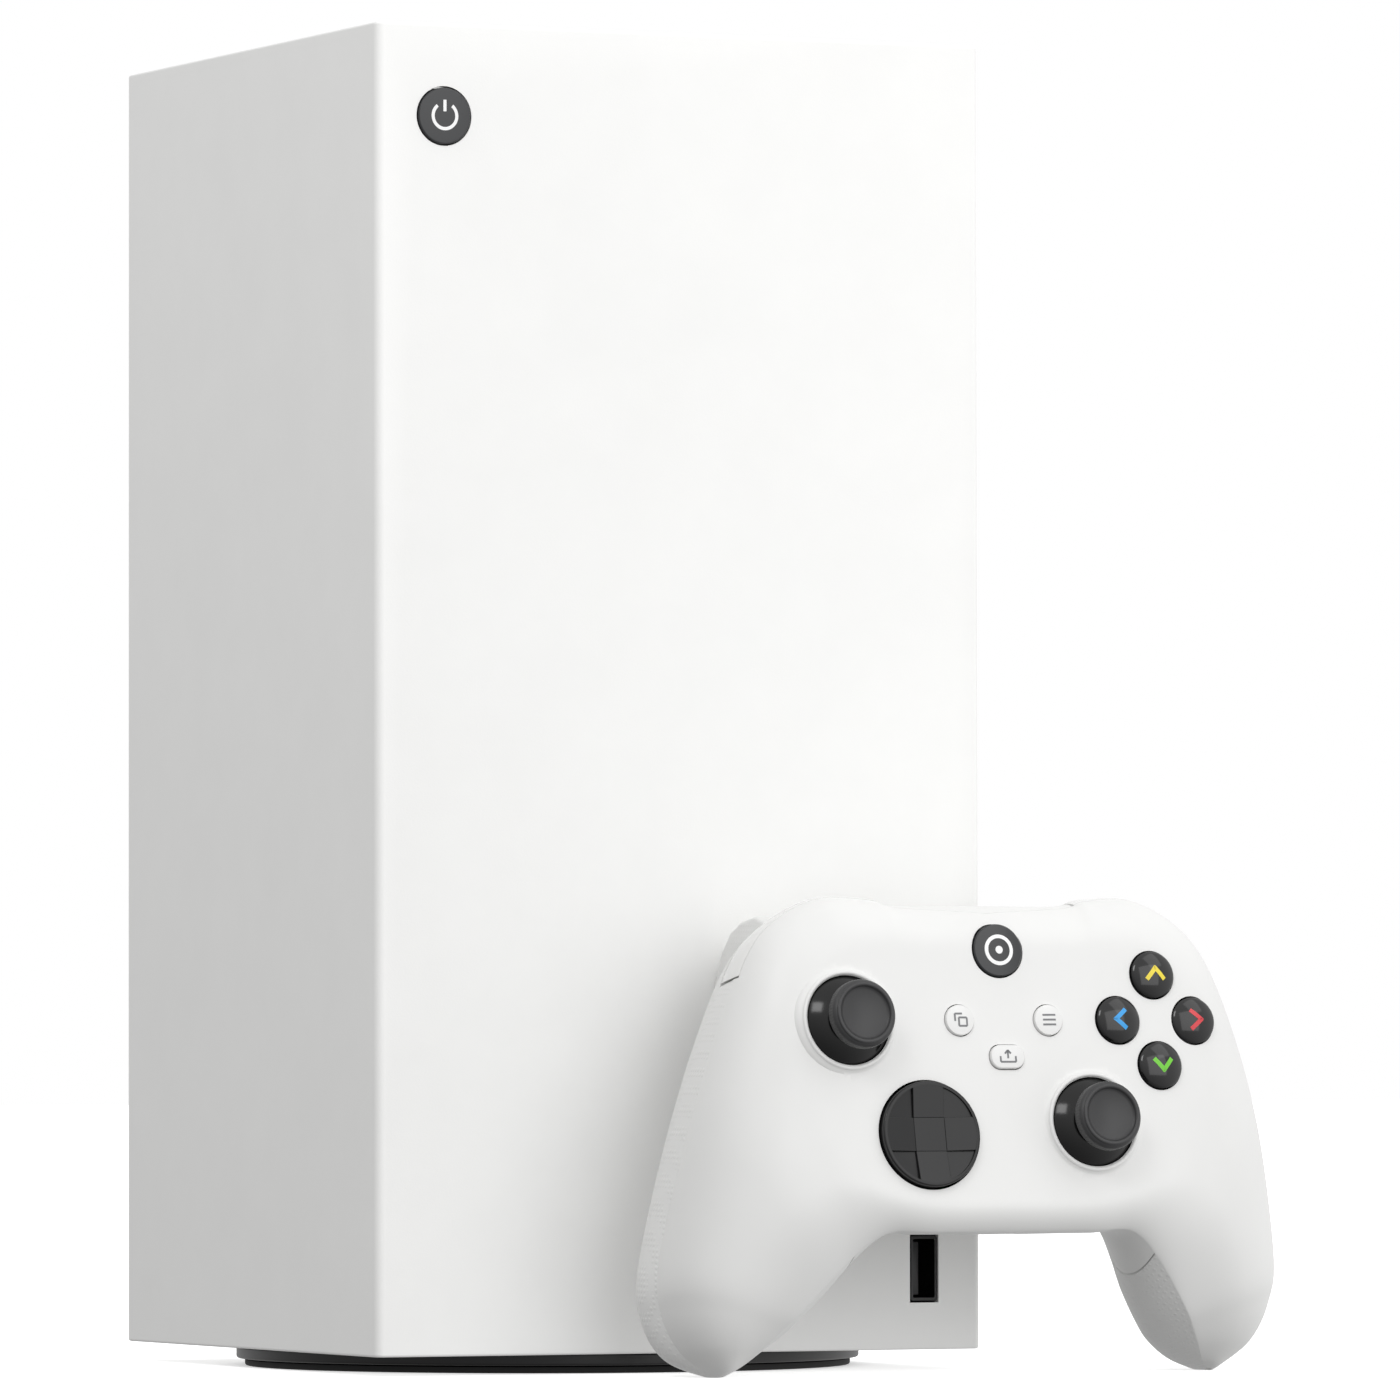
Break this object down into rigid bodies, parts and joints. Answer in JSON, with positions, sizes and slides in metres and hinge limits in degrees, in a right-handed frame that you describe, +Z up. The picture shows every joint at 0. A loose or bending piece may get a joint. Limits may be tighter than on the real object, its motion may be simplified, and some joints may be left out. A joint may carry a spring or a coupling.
{
  "type": "game console with controller",
  "caption": "Upright white game console with a round black foot and a wireless controller leaning against its front.",
  "frame": {"origin": "centre of the console's foot, on the surface that it stands on", "axes": "+Z up, -Y out of the console's front, +X to the right of somebody who faces the front"},
  "size_m": [0.2065, 0.2217, 0.3045],
  "materials": {
    "case_white": "matte white, finely textured moulded plastic",
    "shell_white": "satin white moulded plastic",
    "grip_white": "white moulded plastic with a dot texture for grip",
    "shell_gloss_white": "polished white moulded plastic",
    "button_white": "smooth white plastic with grey symbols",
    "button_dark": "dark grey smooth plastic",
    "gloss_black": "polished black plastic",
    "stick_black": "satin black plastic with a knurled rim",
    "black_satin": "satin black plastic",
    "black_plastic": "matte black plastic",
    "socket_black": "matte black plastic",
    "rubber": "matte black rubber",
    "steel": "plain sheet steel",
    "aluminium": "plain aluminium",
    "circuit_board": "green solder mask",
    "grey_plastic": "grey moulded plastic",
    "cell_wrap": "dark printed cell wrapper, no text"
  },
  "bodies": {
    "console": {"casing": "case_white", "top_grille": "case_white", "rear_cover": "case_white", "foot": "black_satin", "foot_pad": "rubber", "data_socket_front": "socket_black", "chassis": "aluminium", "heatsink": "aluminium", "main_board": "circuit_board", "io_board": "circuit_board", "power_supply": "steel", "fan_housing": "black_plastic", "video_socket": "steel", "data_sockets_rear": "steel", "network_socket": "steel", "power_inlet": "socket_black", "expansion_slot": "socket_black", "rear_screw_left": "steel", "rear_screw_right": "steel"},
    "fan": {"fan_rotor": "black_plastic"},
    "power_key": {"power_button": "button_dark"},
    "sync_key": {"sync_button": "case_white"},
    "controller": {"front_shell": "shell_white", "rear_shell": "shell_white", "bumper_bridge": "shell_white", "grip_plate_left": "grip_white", "grip_plate_right": "grip_white", "rumble_motor_left": "steel", "rumble_motor_right": "steel", "stick_housing_left": "steel", "stick_housing_right": "steel", "controller_board": "circuit_board", "battery_lower": "cell_wrap", "battery_upper": "cell_wrap", "cable_socket": "steel", "headset_jack": "socket_black"},
    "stick_left_outer": {"stick_outer_yoke_left": "grey_plastic"},
    "stick_left_inner": {"stick_inner_yoke_left": "grey_plastic"},
    "stick_left_top": {"stick_left": "stick_black"},
    "stick_right_outer": {"stick_outer_yoke_right": "grey_plastic"},
    "stick_right_inner": {"stick_inner_yoke_right": "grey_plastic"},
    "stick_right_top": {"stick_right": "stick_black"},
    "dpad_base": {"dpad_plate": "grey_plastic"},
    "dpad_top": {"dpad": "gloss_black"},
    "north_key": {"button_north": "gloss_black"},
    "east_key": {"button_east": "gloss_black"},
    "south_key": {"button_south": "gloss_black"},
    "west_key": {"button_west": "gloss_black"},
    "guide_key": {"guide_button": "button_dark"},
    "view_key": {"view_button": "button_white"},
    "menu_key": {"menu_button": "button_white"},
    "share_key": {"share_button": "button_white"},
    "bumper_right_lever": {"bumper_right": "shell_gloss_white"},
    "bumper_left_lever": {"bumper_left": "shell_gloss_white"},
    "trigger_right_lever": {"trigger_right": "grip_white"},
    "rumble_right_rotor": {"rumble_weight_right": "steel"},
    "trigger_left_lever": {"trigger_left": "grip_white"},
    "rumble_left_rotor": {"rumble_weight_left": "steel"},
    "pairing_key": {"pairing_button": "button_dark"},
    "battery_lid": {"battery_door": "shell_white"}
  },
  "joints": [
    {"name": "controller_lift", "type": "slide", "parent": "console", "child": "controller", "axis": [0, 0, 1], "range_m": [0, 0.12]},
    {"name": "fan_spin", "type": "hinge", "parent": "console", "child": "fan", "pos_m": [0, -0.0032, 0.27], "axis": [0, 0, 1], "continuous": true},
    {"name": "power_press", "type": "slide", "parent": "console", "child": "power_key", "axis": [0, 1, 0], "range_m": [0, 0.0008], "stiffness_N_per_m": 900},
    {"name": "sync_press", "type": "slide", "parent": "console", "child": "sync_key", "axis": [0, 1, 0], "range_m": [0, 0.0006], "stiffness_N_per_m": 900},
    {"name": "stick_left_pitch", "type": "hinge", "parent": "controller", "child": "stick_left_outer", "pos_m": [0.0155, -0.11918, 0.07769], "axis": [1, 0, 0], "range_deg": [-16, 16], "stiffness_Nm_per_rad": 0.03},
    {"name": "stick_left_roll", "type": "hinge", "parent": "stick_left_outer", "child": "stick_left_inner", "pos_m": [0.0155, -0.11918, 0.07769], "axis": [0, 0.1908, 0.9816], "range_deg": [-16, 16], "stiffness_Nm_per_rad": 0.03},
    {"name": "stick_left_press", "type": "slide", "parent": "stick_left_inner", "child": "stick_left_top", "axis": [0, 0.9816, -0.1908], "range_m": [0, 0.0008], "stiffness_N_per_m": 1500},
    {"name": "stick_right_pitch", "type": "hinge", "parent": "controller", "child": "stick_right_outer", "pos_m": [0.0745, -0.12362, 0.05482], "axis": [1, 0, 0], "range_deg": [-16, 16], "stiffness_Nm_per_rad": 0.03},
    {"name": "stick_right_roll", "type": "hinge", "parent": "stick_right_outer", "child": "stick_right_inner", "pos_m": [0.0745, -0.12362, 0.05482], "axis": [0, 0.1908, 0.9816], "range_deg": [-16, 16], "stiffness_Nm_per_rad": 0.03},
    {"name": "stick_right_press", "type": "slide", "parent": "stick_right_inner", "child": "stick_right_top", "axis": [0, 0.9816, -0.1908], "range_m": [0, 0.0008], "stiffness_N_per_m": 1500},
    {"name": "dpad_rock_pitch", "type": "hinge", "parent": "controller", "child": "dpad_base", "pos_m": [0.0332, -0.13003, 0.05331], "axis": [1, 0, 0], "range_deg": [-4, 4], "stiffness_Nm_per_rad": 0.2},
    {"name": "dpad_rock_roll", "type": "hinge", "parent": "dpad_base", "child": "dpad_top", "pos_m": [0.0332, -0.13003, 0.05331], "axis": [0, 0.1908, 0.9816], "range_deg": [-4, 4], "stiffness_Nm_per_rad": 0.2},
    {"name": "north_press", "type": "slide", "parent": "controller", "child": "north_key", "axis": [0, 0.9816, -0.1908], "range_m": [0, 0.0015], "stiffness_N_per_m": 400},
    {"name": "east_press", "type": "slide", "parent": "controller", "child": "east_key", "axis": [0, 0.9816, -0.1908], "range_m": [0, 0.0015], "stiffness_N_per_m": 400},
    {"name": "south_press", "type": "slide", "parent": "controller", "child": "south_key", "axis": [0, 0.9816, -0.1908], "range_m": [0, 0.0015], "stiffness_N_per_m": 400},
    {"name": "west_press", "type": "slide", "parent": "controller", "child": "west_key", "axis": [0, 0.9816, -0.1908], "range_m": [0, 0.0015], "stiffness_N_per_m": 400},
    {"name": "guide_press", "type": "slide", "parent": "controller", "child": "guide_key", "axis": [0, 0.9816, -0.1908], "range_m": [0, 0.0006], "stiffness_N_per_m": 900},
    {"name": "view_press", "type": "slide", "parent": "controller", "child": "view_key", "axis": [0, 0.9816, -0.1908], "range_m": [0, 0.0006], "stiffness_N_per_m": 900},
    {"name": "menu_press", "type": "slide", "parent": "controller", "child": "menu_key", "axis": [0, 0.9816, -0.1908], "range_m": [0, 0.0006], "stiffness_N_per_m": 900},
    {"name": "share_press", "type": "slide", "parent": "controller", "child": "share_key", "axis": [0, 0.9816, -0.1908], "range_m": [0, 0.0006], "stiffness_N_per_m": 900},
    {"name": "bumper_right_press", "type": "hinge", "parent": "controller", "child": "bumper_right_lever", "pos_m": [0.0802, -0.11242, 0.09675], "axis": [0, 0.9816, -0.1908], "range_deg": [0, 1], "stiffness_Nm_per_rad": 1},
    {"name": "bumper_left_press", "type": "hinge", "parent": "controller", "child": "bumper_left_lever", "pos_m": [0.0282, -0.11242, 0.09675], "axis": [0, -0.9816, 0.1908], "range_deg": [0, 1], "stiffness_Nm_per_rad": 1},
    {"name": "trigger_right_pull", "type": "hinge", "parent": "controller", "child": "trigger_right_lever", "pos_m": [0.0925, -0.10003, 0.09495], "axis": [-1, 0, 0], "range_deg": [0, 20], "stiffness_Nm_per_rad": 0.3},
    {"name": "rumble_right_spin", "type": "hinge", "parent": "controller", "child": "rumble_right_rotor", "pos_m": [0.1112, -0.11642, 0.03946], "axis": [0, -0.9816, 0.1908], "continuous": true},
    {"name": "trigger_left_pull", "type": "hinge", "parent": "controller", "child": "trigger_left_lever", "pos_m": [0.0159, -0.10003, 0.09495], "axis": [-1, 0, 0], "range_deg": [0, 20], "stiffness_Nm_per_rad": 0.3},
    {"name": "rumble_left_spin", "type": "hinge", "parent": "controller", "child": "rumble_left_rotor", "pos_m": [-0.0028, -0.11642, 0.03946], "axis": [0, -0.9816, 0.1908], "continuous": true},
    {"name": "pairing_press", "type": "slide", "parent": "controller", "child": "pairing_key", "axis": [0, -0.1908, -0.9816], "range_m": [0, 0.0006], "stiffness_N_per_m": 900},
    {"name": "battery_door_release", "type": "slide", "parent": "controller", "child": "battery_lid", "axis": [0, 0.9816, -0.1908], "range_m": [0, 0.012]}
  ]
}
